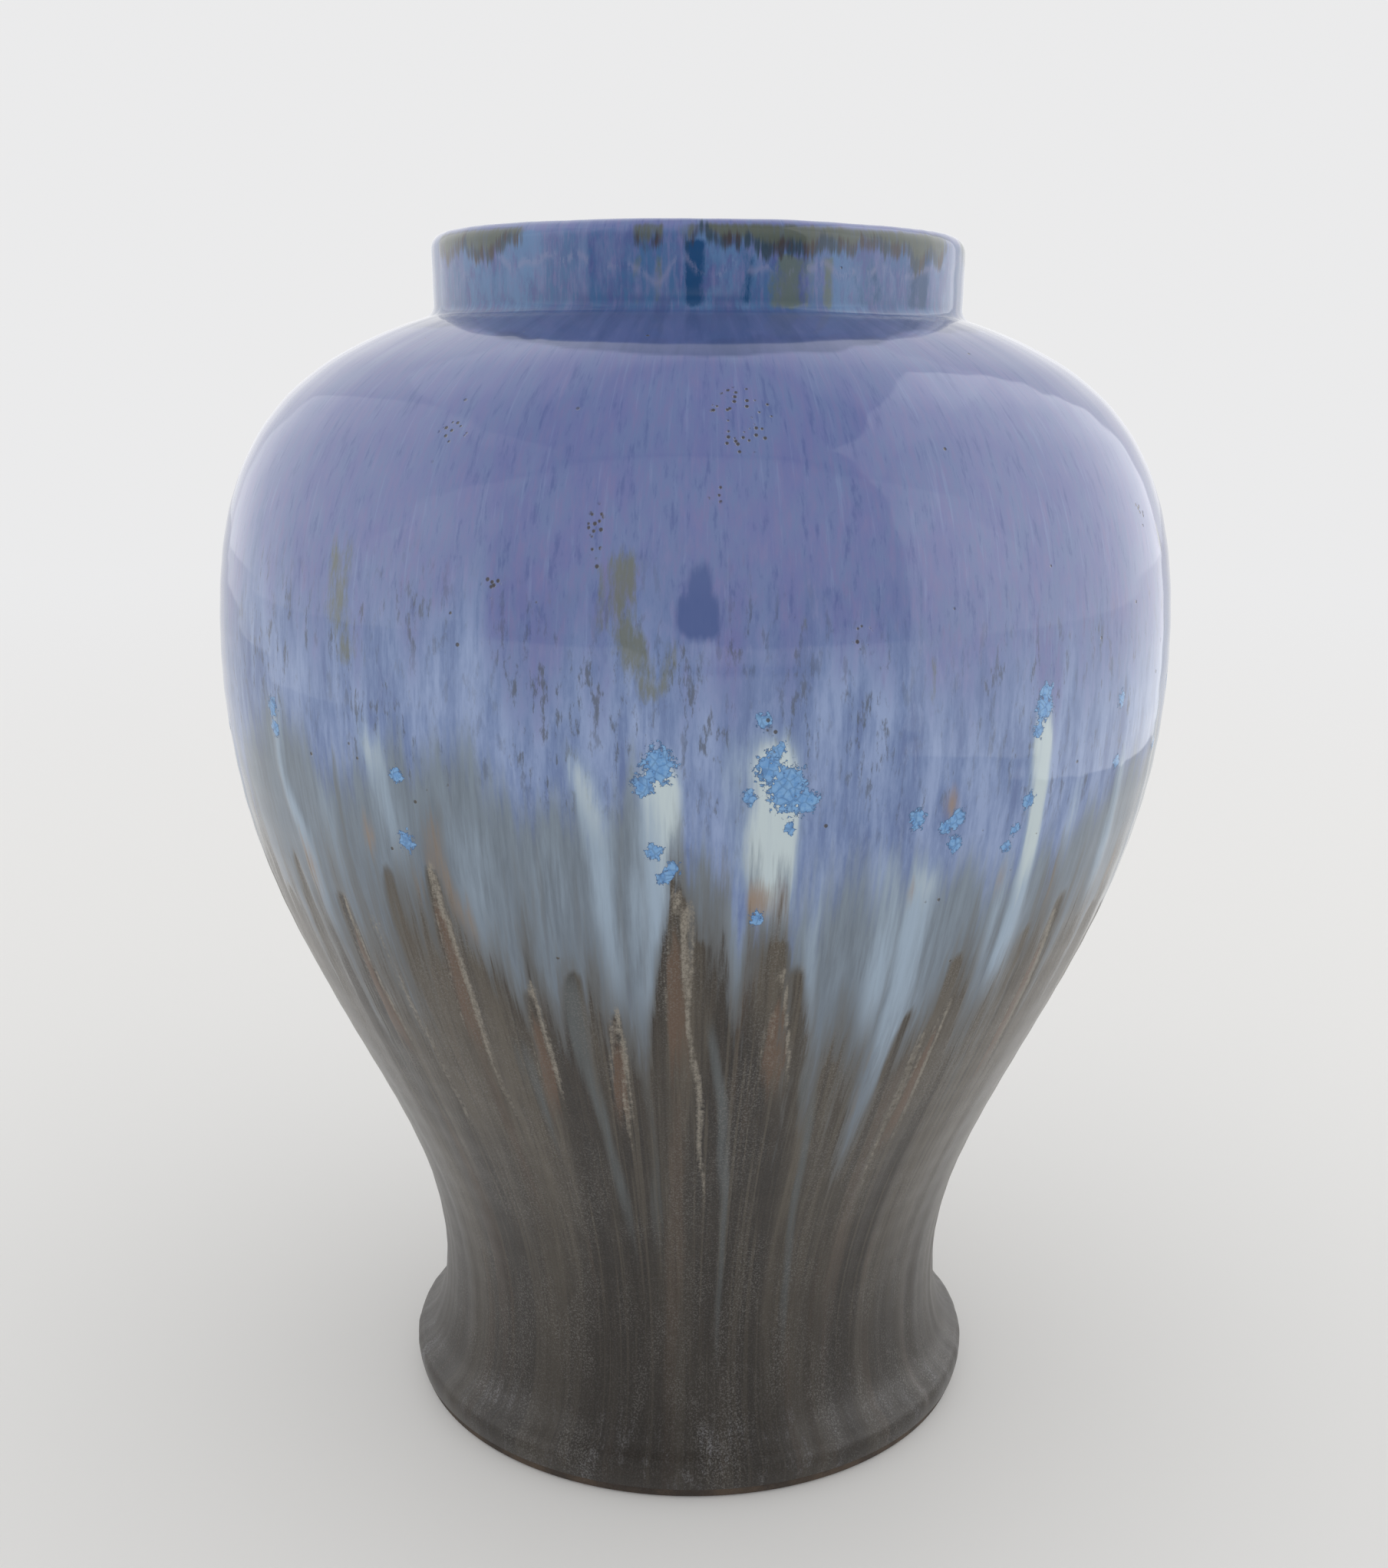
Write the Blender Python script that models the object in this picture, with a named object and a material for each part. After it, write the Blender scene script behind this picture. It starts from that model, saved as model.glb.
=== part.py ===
"""Stoneware baluster vase, built up in clay sections with glaze coats over them.

Units are metres, +Z is up, and the origin is the centre of the foot on the table plane.
Every node is a solid of revolution. One outline describes the glazed outside of the vase, from the
foot's edge to the neck's top, and each clay section and glaze coat is a slice of it between two
heights and two depths below that outside surface.
"""
import math

import bmesh
import bpy
import numpy as np
from mathutils import Vector

# Driving dimensions of the glazed outside.
HEIGHT = 0.330
FOOT_BASE_RADIUS = 0.0824
FOOT_RADIUS = 0.0838
FOOT_ROLL_HEIGHT = 0.0075
FOOT_ROLL_RADIUS = 0.0045
FOOT_ROLL_TURN = math.radians(60)
WAIST_RADIUS = 0.0745
WAIST_HEIGHT = 0.035
BELLY_RADIUS = 0.1309
BELLY_HEIGHT = 0.223
NECK_ROOT_RADIUS = 0.0738
NECK_ROOT_HEIGHT = 0.3084
NECK_ROOT_SLOPE = math.radians(18)
NECK_ROOT_FILLET = 0.0030
NECK_TOP_RADIUS = 0.0720

# How far each end of an outline curve pulls along its own direction.
FOOT_PULL = 0.005
UNDER_WAIST_PULL = 0.014
OVER_WAIST_PULL = 0.0587
UNDER_BELLY_PULL = 0.0844
OVER_BELLY_PULL = 0.0508
SHOULDER_PULL = 0.0420
NECK_PULL = 0.005

# Wall, from the outside in: glaze, gap, clay, gap, interior glaze.
GAP = 0.0003
GLAZE = 0.0008
CLAY = 0.0060
CLAY_OUTSIDE = GLAZE + GAP
CLAY_MIDDLE = CLAY_OUTSIDE + CLAY / 2
CLAY_INSIDE = CLAY_OUTSIDE + CLAY
LINER_OUTSIDE = CLAY_INSIDE + GAP
WALL = LINER_OUTSIDE + GLAZE
LIP_RADIUS = WALL / 2

# Foot and floor.
FOOT_EDGE_BEVEL = 0.0010
FOOT_RING_WIDTH = 0.0150
FOOT_RECESS_DEPTH = 0.0030
FLOOR_TOP = 0.0120
FLOOR_FILLET = 0.0140

# Heights of the luted joints, and the lap that each joint makes inside the wall.
JOINT_HEIGHTS = (0.050, 0.136, 0.236, 0.3045)
SLIP_RINGS = ("foot_slip_ring", "waist_slip_ring", "belly_slip_ring", "neck_slip_ring")
LAP = 0.0040
SLIP = 0.0007

# The dry matt glaze starts just above the table, and the glossy one hangs over it from here up.
FOOT_GLAZE_LINE = 0.0030
DRIP_LINE = 0.118

SEGMENTS = 40
SAMPLES = 60


def bezier(start, start_pull, end, end_pull):
    """Points of a cubic curve; each pull is the vector from an end to its handle."""
    t = np.linspace(0.0, 1.0, SAMPLES)[:, None]
    points = [np.array(p) for p in (start, start_pull, end, end_pull)]
    a, d = points[0], points[2]
    b, c = a + points[1], d + points[3]
    return (1 - t) ** 3 * a + 3 * (1 - t) ** 2 * t * b + 3 * (1 - t) * t ** 2 * c + t ** 3 * d


def arc(centre, radius, start, end):
    """Points of an arc in the (radius, height) plane, angles from the outward direction."""
    angles = np.linspace(start, end, SAMPLES)
    return np.array(centre) + radius * np.stack([np.cos(angles), np.sin(angles)], axis=1)


def outside_curves():
    """The stretches of the glazed outside, foot to neck top, as (radius, height) points."""
    roll_centre = (FOOT_RADIUS - FOOT_ROLL_RADIUS, FOOT_ROLL_HEIGHT)
    roll = arc(roll_centre, FOOT_ROLL_RADIUS, 0.0, FOOT_ROLL_TURN)
    roll_direction = np.array([-math.sin(FOOT_ROLL_TURN), math.cos(FOOT_ROLL_TURN)])
    waist = (WAIST_RADIUS, WAIST_HEIGHT)
    belly = (BELLY_RADIUS, BELLY_HEIGHT)
    root = (NECK_ROOT_RADIUS, NECK_ROOT_HEIGHT)
    root_pull = (SHOULDER_PULL * math.cos(NECK_ROOT_SLOPE), -SHOULDER_PULL * math.sin(NECK_ROOT_SLOPE))
    fillet_centre = (
        NECK_ROOT_RADIUS + NECK_ROOT_FILLET * math.sin(NECK_ROOT_SLOPE),
        NECK_ROOT_HEIGHT + NECK_ROOT_FILLET * math.cos(NECK_ROOT_SLOPE),
    )
    fillet = arc(fillet_centre, NECK_ROOT_FILLET, 1.5 * math.pi - NECK_ROOT_SLOPE, math.pi)
    neck_top = (NECK_TOP_RADIUS, HEIGHT - LIP_RADIUS)
    return [
        bezier((FOOT_BASE_RADIUS, 0.0), (0.0, FOOT_ROLL_HEIGHT / 3), roll[0], (0.0, -FOOT_ROLL_HEIGHT / 3)),
        roll,
        bezier(roll[-1], FOOT_PULL * roll_direction, waist, (0.0, -UNDER_WAIST_PULL)),
        bezier(waist, (0.0, OVER_WAIST_PULL), belly, (0.0, -UNDER_BELLY_PULL)),
        bezier(belly, (0.0, OVER_BELLY_PULL), root, root_pull),
        fillet,
        bezier(fillet[-1], (0.0, NECK_PULL), neck_top, (0.0, -NECK_PULL)),
    ]


# Facets along each stretch of the outside, in the same order.
FACETS = (1, 2, 3, 6, 8, 1, 1)


class Wall:
    """The vase's wall, measured by distance along its outside and depth below it."""

    def __init__(self):
        curves = outside_curves()
        self.points = np.concatenate([curves[0]] + [curve[1:] for curve in curves[1:]])
        steps = np.linalg.norm(np.diff(self.points, axis=0), axis=1)
        self.run = np.concatenate([[0.0], np.cumsum(steps)])
        tangents = np.gradient(self.points, self.run, axis=0)
        tangents /= np.linalg.norm(tangents, axis=1)[:, None]
        self.inward = np.stack([-tangents[:, 1], tangents[:, 0]], axis=1)
        self.top = self.run[-1]
        self.waist = self.at_height(WAIST_HEIGHT)
        self.joints = [self.at_height(height) for height in JOINT_HEIGHTS]
        self.glaze_start = self.at_height(FOOT_GLAZE_LINE)
        self.drip_line = self.at_height(DRIP_LINE)
        self.stations = self.facet_stations()

    def at_height(self, height):
        return float(np.interp(height, self.points[:, 1], self.run))

    def facet_stations(self):
        stations = {self.glaze_start, self.drip_line, *self.joints}
        stations.update(joint + LAP for joint in self.joints)
        for index, facets in enumerate(FACETS):
            first = index * (SAMPLES - 1)
            ends = self.run[first], self.run[first + SAMPLES - 1]
            stations.update(float(s) for s in np.linspace(*ends, facets + 1))
        return sorted(stations)

    def point(self, run, depth):
        place = [np.interp(run, self.run, self.points[:, k]) for k in (0, 1)]
        inward = [np.interp(run, self.run, self.inward[:, k]) for k in (0, 1)]
        return place[0] + depth * inward[0], place[1] + depth * inward[1]

    def stretch(self, start, end, depth):
        """Points at one depth from one run to another, upward or downward."""
        low, high = min(start, end), max(start, end)
        margin = 0.001
        runs = [low] + [s for s in self.stations if low + margin < s < high - margin] + [high]
        if start > end:
            runs.reverse()
        return [self.point(run, depth) for run in runs]


def lip(wall, depth, facets=4):
    """Points over the rounded lip, from its outer side to its inner side."""
    centre = np.array(wall.point(wall.top, LIP_RADIUS))
    angles = np.linspace(0.0, math.pi, facets + 1)[1:-1]
    radius = LIP_RADIUS - depth
    return [tuple(centre + radius * np.array([math.cos(a), math.sin(a)])) for a in angles]


def inner_floor(wall, depth, facets=3):
    """Points from the inner wall at the waist down round the floor's corner to the axis."""
    lift = depth - CLAY_INSIDE
    side = WAIST_RADIUS - CLAY_INSIDE
    centre = (side - FLOOR_FILLET, FLOOR_TOP + FLOOR_FILLET)
    radius = FLOOR_FILLET - lift
    corner = []
    for angle in np.linspace(0.0, -math.pi / 2, facets + 1):
        corner.append((centre[0] + radius * math.cos(angle), centre[1] + radius * math.sin(angle)))
    return corner + [(0.0, FLOOR_TOP + lift)]


def lap_upward_end(wall, joint):
    """Top end of a lower section: a shelf outside and a tongue standing up inside."""
    shelf = joint - GAP - SLIP / 2
    return [
        wall.point(shelf, CLAY_MIDDLE + GAP / 2),
        wall.point(joint + LAP, CLAY_MIDDLE + GAP / 2),
    ]


def lap_downward_end(wall, joint):
    """Bottom end of an upper section, from its inner side out to its outer side."""
    return [
        wall.point(joint + LAP + GAP, CLAY_MIDDLE - GAP / 2),
        wall.point(joint + GAP + SLIP / 2, CLAY_MIDDLE - GAP / 2),
    ]


def section_outline(wall, lower_joint, upper_joint):
    """A clay section between two luted joints, outside going up and inside coming down."""
    upper_shelf = upper_joint - GAP - SLIP / 2
    outline = wall.stretch(lower_joint + GAP + SLIP / 2, upper_shelf, CLAY_OUTSIDE)
    outline += lap_upward_end(wall, upper_joint)
    outline += wall.stretch(upper_joint + LAP, lower_joint + LAP + GAP, CLAY_INSIDE)
    return outline + lap_downward_end(wall, lower_joint)


def foot_outline(wall):
    """Foot ring, recessed underside, floor and the start of the wall."""
    joint = wall.joints[0]
    base_radius = wall.point(0.0, CLAY_OUTSIDE)[0]
    ring_inner = base_radius - FOOT_RING_WIDTH
    outline = [
        (0.0, FOOT_RECESS_DEPTH),
        (ring_inner - FOOT_RECESS_DEPTH / 2, FOOT_RECESS_DEPTH),
        (ring_inner, 0.0),
        (base_radius - FOOT_EDGE_BEVEL, 0.0),
        (base_radius, FOOT_EDGE_BEVEL),
    ]
    outline += wall.stretch(wall.glaze_start, joint - GAP - SLIP / 2, CLAY_OUTSIDE)
    outline += lap_upward_end(wall, joint)
    outline += wall.stretch(joint + LAP, wall.waist, CLAY_INSIDE)
    return outline + inner_floor(wall, CLAY_INSIDE)


def neck_outline(wall):
    """Flange lapped into the shoulder's mouth, straight neck and rounded lip."""
    joint = wall.joints[-1]
    outline = wall.stretch(joint + GAP + SLIP / 2, wall.top, CLAY_OUTSIDE)
    outline += lip(wall, CLAY_OUTSIDE)
    outline += wall.stretch(wall.top, joint + LAP + GAP, CLAY_INSIDE)
    return outline + lap_downward_end(wall, joint)


def slip_outline(wall, joint):
    """The ring of slip that lutes one joint, lying on the lower section's shelf."""
    low, high = joint - SLIP / 2, joint + SLIP / 2
    outer, inner = CLAY_OUTSIDE, CLAY_MIDDLE - GAP / 2
    return [wall.point(low, outer), wall.point(high, outer), wall.point(high, inner), wall.point(low, inner)]


def upper_glaze_outline(wall):
    """The glossy coat, from the drip line up over the lip to its inner side."""
    start = wall.drip_line + GAP / 2
    outline = wall.stretch(start, wall.top, 0.0)
    outline += lip(wall, 0.0)
    outline += [wall.point(wall.top, WALL), wall.point(wall.top, LINER_OUTSIDE)]
    outline += reversed(lip(wall, GLAZE))
    return outline + wall.stretch(wall.top, start, GLAZE)


def lower_glaze_outline(wall):
    """The matt coat, from just above the table to the drip line."""
    end = wall.drip_line - GAP / 2
    return wall.stretch(wall.glaze_start, end, 0.0) + wall.stretch(end, wall.glaze_start, GLAZE)


def liner_outline(wall):
    """The glaze poured inside, over the floor and up the wall to just under the lip."""
    end = wall.top - GAP
    outline = wall.stretch(end, wall.waist, WALL) + inner_floor(wall, WALL)
    outline += reversed(inner_floor(wall, LINER_OUTSIDE))
    return outline + wall.stretch(wall.waist, end, LINER_OUTSIDE)


def turned(name, outline, material):
    """One named object made by turning a closed outline round the vase's axis."""
    mesh = bpy.data.meshes.new(name)
    shape = bmesh.new()
    verts = [shape.verts.new((radius, 0.0, height)) for radius, height in outline]
    edges = [shape.edges.new((a, b)) for a, b in zip(verts, verts[1:])]
    if outline[0][0] > 0.0:
        edges.append(shape.edges.new((verts[-1], verts[0])))
    bmesh.ops.spin(
        shape,
        geom=verts + edges,
        cent=Vector((0.0, 0.0, 0.0)),
        axis=Vector((0.0, 0.0, 1.0)),
        angle=2.0 * math.pi,
        steps=SEGMENTS,
        use_merge=True,
    )
    bmesh.ops.remove_doubles(shape, verts=shape.verts, dist=1e-6)
    bmesh.ops.recalc_face_normals(shape, faces=shape.faces)
    shape.to_mesh(mesh)
    shape.free()
    mesh.shade_smooth()
    mesh.set_sharp_from_angle(angle=math.radians(35))
    mesh.materials.append(material)
    node = bpy.data.objects.new(name, mesh)
    bpy.context.collection.objects.link(node)
    return node


def principled(name, colour, roughness):
    material = bpy.data.materials.new(name)
    material.use_nodes = True
    shader = material.node_tree.nodes["Principled BSDF"]
    shader.inputs["Base Color"].default_value = (*colour, 1.0)
    shader.inputs["Roughness"].default_value = roughness
    shader.inputs["Metallic"].default_value = 0.0
    return material


def build():
    for leftover in list(bpy.data.objects):
        bpy.data.objects.remove(leftover, do_unlink=True)
    wall = Wall()
    joints = wall.joints
    clay = principled("fired_clay", (0.235, 0.155, 0.105), 0.85)
    slip = principled("joining_slip", (0.300, 0.215, 0.155), 0.90)
    flambe = principled("flambe_glaze", (0.130, 0.190, 0.420), 0.12)
    gunmetal = principled("gunmetal_glaze", (0.070, 0.062, 0.062), 0.45)
    liner = principled("liner_glaze", (0.055, 0.062, 0.090), 0.30)

    turned("foot_section", foot_outline(wall), clay)
    turned("waist_section", section_outline(wall, joints[0], joints[1]), clay)
    turned("belly_section", section_outline(wall, joints[1], joints[2]), clay)
    turned("shoulder_section", section_outline(wall, joints[2], joints[3]), clay)
    turned("neck_collar", neck_outline(wall), clay)
    for name, joint in zip(SLIP_RINGS, joints):
        turned(name, slip_outline(wall, joint), slip)
    turned("gunmetal_glaze_coat", lower_glaze_outline(wall), gunmetal)
    turned("flambe_glaze_coat", upper_glaze_outline(wall), flambe)
    turned("interior_glaze_liner", liner_outline(wall), liner)


build()
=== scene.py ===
"""Looks of the stoneware baluster vase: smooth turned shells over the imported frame, with run glazes.

Places on the vase are given as an azimuth in degrees, 0 at the side that faces the camera (-Y) and
growing towards +X, and a height in millimetres above the table.
"""

import math

import bpy
import numpy as np
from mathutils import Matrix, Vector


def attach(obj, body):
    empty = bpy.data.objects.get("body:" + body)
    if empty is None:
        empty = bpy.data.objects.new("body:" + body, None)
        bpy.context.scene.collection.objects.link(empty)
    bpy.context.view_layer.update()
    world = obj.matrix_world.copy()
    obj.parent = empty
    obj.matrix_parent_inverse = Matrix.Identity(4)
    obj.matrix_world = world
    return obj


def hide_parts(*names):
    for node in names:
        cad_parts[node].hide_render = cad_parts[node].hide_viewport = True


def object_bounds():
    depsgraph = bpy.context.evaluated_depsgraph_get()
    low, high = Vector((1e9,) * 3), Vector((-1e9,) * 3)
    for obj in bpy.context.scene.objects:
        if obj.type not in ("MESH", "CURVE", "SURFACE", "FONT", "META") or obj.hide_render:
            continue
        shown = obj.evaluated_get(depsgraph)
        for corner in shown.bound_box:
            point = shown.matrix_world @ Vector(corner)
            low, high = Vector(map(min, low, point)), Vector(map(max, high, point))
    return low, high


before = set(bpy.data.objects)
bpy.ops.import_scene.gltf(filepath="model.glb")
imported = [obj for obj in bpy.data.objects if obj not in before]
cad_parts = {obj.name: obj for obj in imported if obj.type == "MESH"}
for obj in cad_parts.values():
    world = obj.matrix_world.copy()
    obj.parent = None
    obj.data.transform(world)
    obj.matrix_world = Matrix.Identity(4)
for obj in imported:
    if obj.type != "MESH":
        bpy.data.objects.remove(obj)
cad_low, cad_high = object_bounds()

MM = (cad_high.z - cad_low.z) / 330.0

# -------------------- outline, in millimetres

FOOT_BASE_RADIUS = 82.4
FOOT_RADIUS = 83.8
FOOT_ROLL_HEIGHT = 7.5
FOOT_ROLL_RADIUS = 4.5
FOOT_ROLL_TURN = math.radians(60)
WAIST = (74.5, 35.0)
BELLY = (130.9, 223.0)
NECK_ROOT = (73.8, 308.4)
NECK_ROOT_SLOPE = math.radians(18)
NECK_ROOT_FILLET = 3.0
LIP_RADIUS = 4.1
NECK_TOP = (72.0, 330.0 - LIP_RADIUS)

GAP = 0.3
SLIP = 0.7
GLAZE = 0.8
CLAY = 6.0
CLAY_OUTSIDE = GLAZE + GAP
CLAY_INSIDE = CLAY_OUTSIDE + CLAY
LINER_OUTSIDE = CLAY_INSIDE + GAP
WALL = LINER_OUTSIDE + GLAZE

# How far the curves' handles reach, below and above the point they're named for.
FOOT_PULL = 2.5
ROLL_PULL = 5.0
WAIST_PULLS = (14.0, 58.7)
BELLY_PULLS = (84.4, 50.8)
ROOT_PULL = 42.0
NECK_PULL = 5.0

FOOT_RING_WIDTH = 15.0
FOOT_RECESS_DEPTH = 3.0
FOOT_EDGE = 1.2
FLOOR_TOP = 12.0
FLOOR_FILLET = 14.0
GLAZE_FOOT_LINE = 3.0
DRIP_LINE = 118.0
JOINT_HEIGHTS = (50.0, 136.0, 236.0, 304.5)

COLUMNS = 720
ROW_STEP = 0.9
LIP_ROW_STEP = 0.55
NOISE_STEP = 0.5
MEAN_RADIUS = 110.0


def bezier(start, start_pull, end, end_pull):
    """Points of a cubic curve; each pull is the vector from an end to its handle."""
    t = np.linspace(0.0, 1.0, 240)[:, None]
    a, d = np.array(start, float), np.array(end, float)
    b, c = a + np.array(start_pull), d + np.array(end_pull)
    return (1 - t) ** 3 * a + 3 * (1 - t) ** 2 * t * b + 3 * (1 - t) * t ** 2 * c + t ** 3 * d


def arc(centre, radius, start, end, count=60):
    """Points of an arc in the (radius, height) plane, angles from the outward direction."""
    angles = np.linspace(start, end, count)
    return np.array(centre) + radius * np.stack([np.cos(angles), np.sin(angles)], axis=1)


def glazed_outline():
    """The glazed outside from the foot's edge over the lip to its inner side."""
    roll = arc((FOOT_RADIUS - FOOT_ROLL_RADIUS, FOOT_ROLL_HEIGHT), FOOT_ROLL_RADIUS, 0.0, FOOT_ROLL_TURN)
    roll_pull = (-ROLL_PULL * math.sin(FOOT_ROLL_TURN), ROLL_PULL * math.cos(FOOT_ROLL_TURN))
    root_pull = (ROOT_PULL * math.cos(NECK_ROOT_SLOPE), -ROOT_PULL * math.sin(NECK_ROOT_SLOPE))
    fillet_centre = (
        NECK_ROOT[0] + NECK_ROOT_FILLET * math.sin(NECK_ROOT_SLOPE),
        NECK_ROOT[1] + NECK_ROOT_FILLET * math.cos(NECK_ROOT_SLOPE),
    )
    fillet = arc(fillet_centre, NECK_ROOT_FILLET, 1.5 * math.pi - NECK_ROOT_SLOPE, math.pi)
    curves = [
        bezier((FOOT_BASE_RADIUS, 0.0), (0.0, FOOT_PULL), roll[0], (0.0, -FOOT_PULL)),
        roll,
        bezier(roll[-1], roll_pull, WAIST, (0.0, -WAIST_PULLS[0])),
        bezier(WAIST, (0.0, WAIST_PULLS[1]), BELLY, (0.0, -BELLY_PULLS[0])),
        bezier(BELLY, (0.0, BELLY_PULLS[1]), NECK_ROOT, root_pull),
        fillet,
        bezier(fillet[-1], (0.0, NECK_PULL), NECK_TOP, (0.0, -NECK_PULL)),
        arc((NECK_TOP[0] - LIP_RADIUS, NECK_TOP[1]), LIP_RADIUS, 0.0, math.pi),
    ]
    return np.concatenate([curves[0]] + [curve[1:] for curve in curves[1:]])


class Outline:
    """The glazed outside, measured by the distance run along it."""

    def __init__(self):
        self.points = glazed_outline()
        steps = np.linalg.norm(np.diff(self.points, axis=0), axis=1)
        self.run = np.concatenate([[0.0], np.cumsum(steps)])
        tangents = np.gradient(self.points, self.run, axis=0)
        tangents /= np.linalg.norm(tangents, axis=1)[:, None]
        self.inward = np.stack([-tangents[:, 1], tangents[:, 0]], axis=1)
        self.crest = float(self.run[np.argmax(self.points[:, 1])])
        self.neck_top = self.crest - LIP_RADIUS * math.pi / 2
        self.end = float(self.run[-1])

    def at_height(self, height):
        rising = self.run <= self.crest
        return float(np.interp(height, self.points[rising, 1], self.run[rising]))

    def at(self, run, depth=0.0):
        """Radius and height at each run, a depth below the surface."""
        places = [np.interp(run, self.run, self.points[:, k]) for k in (0, 1)]
        return np.stack(places, axis=-1) + depth * self.inward_at(run)

    def inward_at(self, run):
        return np.stack([np.interp(run, self.run, self.inward[:, k]) for k in (0, 1)], axis=-1)

    def stretch(self, start, end, depth, step=6.0):
        count = max(2, int(abs(end - start) / step) + 1)
        return list(self.at(np.linspace(start, end, count), depth))


outline = Outline()

# -------------------- rows, columns and random fields


def row_runs():
    """Runs of the grid's rows over the glazed outside, closer together on the neck and lip."""
    body = np.arange(outline.at_height(GLAZE_FOOT_LINE), outline.at_height(NECK_ROOT[1]), ROW_STEP)
    top = np.arange(body[-1] + LIP_ROW_STEP, outline.end, LIP_ROW_STEP)
    return np.concatenate([body, top, [outline.end]])


RUNS = row_runs()
ROWS = len(RUNS)
AZIMUTH = (np.arange(COLUMNS) * 360.0 / COLUMNS - 180.0)[None, :]
SECTION = outline.at(RUNS)
RADIUS = SECTION[:, :1]
HEIGHT = SECTION[:, 1:]
OUTSIDE = (RUNS < outline.crest)[:, None]
FINE_ROWS = int(outline.end / NOISE_STEP) + 2


def smooth(low, high, value):
    t = np.clip((value - low) / (high - low), 0.0, 1.0)
    return t * t * (3.0 - 2.0 * t)


def wrapped(angle):
    return (angle + 180.0) % 360.0 - 180.0


def field(width, length, seed):
    """Smooth random field of unit spread: width in degrees round, length in millimetres down."""
    white = np.random.default_rng(seed).standard_normal((FINE_ROWS, COLUMNS))
    down = np.fft.fftfreq(FINE_ROWS, NOISE_STEP)[:, None] * length
    across = np.fft.fftfreq(COLUMNS, 360.0 / COLUMNS)[None, :] * width
    kept = np.exp(-2.0 * math.pi ** 2 * (down ** 2 + across ** 2))
    blurred = np.fft.ifft2(np.fft.fft2(white) * kept).real
    blurred /= blurred.std()
    return blurred[np.round(RUNS / NOISE_STEP).astype(int)]


WOBBLE = 0.55 * field(3.0, 30.0, 11) + 0.22 * field(0.9, 9.0, 12)
FLOWED = AZIMUTH + WOBBLE


def run(path, half_width, soft_top, soft_bottom):
    """A run of glaze down a path of (azimuth, height) points, faded over its soft ends."""
    azimuths, heights = np.array(path, float).T
    centre = np.interp(-HEIGHT, -heights, azimuths)
    across = np.abs(wrapped(FLOWED - centre)) / half_width
    ends = smooth(0.0, soft_top, heights[0] - HEIGHT) * smooth(0.0, soft_bottom, HEIGHT - heights[-1])
    return np.exp(-across ** 2.4) * ends


def tip(azimuth, height, half_width):
    """A pointed patch of bare matt glaze that widens below its tip."""
    below = np.clip((height - HEIGHT) / 50.0, 0.0, 1.0)
    width = half_width * (0.08 + 0.92 * below ** 0.75)
    across = np.abs(wrapped(FLOWED - azimuth)) / width
    return smooth(0.0, 0.16, below) * np.clip(1.25 - 0.75 * across, 0.0, 1.0)


def crust(azimuth, height, half_width, length):
    """The dry edge of a bare tip and the rusty patch inside it."""
    below = height - HEIGHT
    width = half_width * np.clip(below / length, 0.0, 1.0) ** 0.8 + 0.12
    off = wrapped(FLOWED - azimuth)
    fade = smooth(-1.0, 3.0, below) * (1.0 - smooth(0.5 * length, 1.1 * length, below))
    edge = np.exp(-((np.abs(off) - width) / 0.40) ** 2) * np.where(off > 0.0, 1.0, 0.55)
    inside = (1.0 - smooth(0.6, 1.15, np.abs(off) / width)) * smooth(4.0, 18.0, below)
    return edge * fade, inside * fade


def blot(azimuth, height, size, tall=1.2):
    """A soft round patch, 1 in its middle, 0 from its size outwards (millimetres)."""
    across = np.radians(wrapped(AZIMUTH - azimuth)) * RADIUS / size
    down = (HEIGHT - height) / (size * tall)
    return np.clip(1.0 - np.sqrt(across ** 2 + down ** 2), 0.0, 1.0)


def strongest(parts):
    result = np.zeros((ROWS, COLUMNS))
    for part in parts:
        result = np.maximum(result, part)
    return result


# -------------------- where the glazes ran

BACK_START, BACK_END = 66.0, 292.0

back = np.random.default_rng(7)


def round_the_back(spacing):
    """Azimuths that carry on, a spacing or so apart, round the side that faces away."""
    azimuth = BACK_START
    places = []
    while azimuth < BACK_END:
        places.append(azimuth)
        azimuth += spacing * back.uniform(0.7, 1.4)
    return places


# Where the blue gives out and the matt glaze is bare: azimuth and the two heights.
EDGES = [
    (-66, 184, 150), (-60, 190, 152), (-52, 190, 162), (-47, 186, 148), (-44, 192, 156),
    (-38, 190, 146), (-33, 194, 168), (-27.7, 196, 178), (-22, 184, 156), (-18.6, 182, 158),
    (-15, 178, 150), (-11, 172, 142), (-9, 172, 152), (-5, 172, 146), (-3, 182, 160), (-1, 192, 180),
    (2, 190, 174), (5, 180, 152), (9, 188, 166), (13, 174, 132), (16, 168, 122), (18, 166, 134),
    (21, 158, 122), (24, 150, 116), (27, 158, 134), (31, 176, 152), (35, 170, 140), (38, 160, 130),
    (42.5, 176, 156), (47, 184, 160), (52, 178, 148), (58, 184, 156), (66, 184, 150),
]

# Tips of the bare matt glaze: azimuth, height, half width at the base.
TIPS = [
    (-60, 170, 4), (-52.5, 182, 3.6), (-43, 176, 4.6), (-34.5, 187, 3.6), (-27.7, 189, 4.4),
    (-18.6, 160, 4.2), (-13.6, 166, 3.8), (-9.2, 155, 3), (-0.9, 188, 6.6), (1.8, 176, 4.6),
    (9, 176, 6.2), (11.8, 168, 4), (18.2, 140, 3), (27.3, 152, 2.4), (32, 166, 4.2),
    (42.5, 170, 3.6), (47.5, 176, 3.2), (58, 168, 4),
]
TIPS += [(a, back.uniform(142, 188), back.uniform(2.6, 5)) for a in round_the_back(8.5)]

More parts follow.
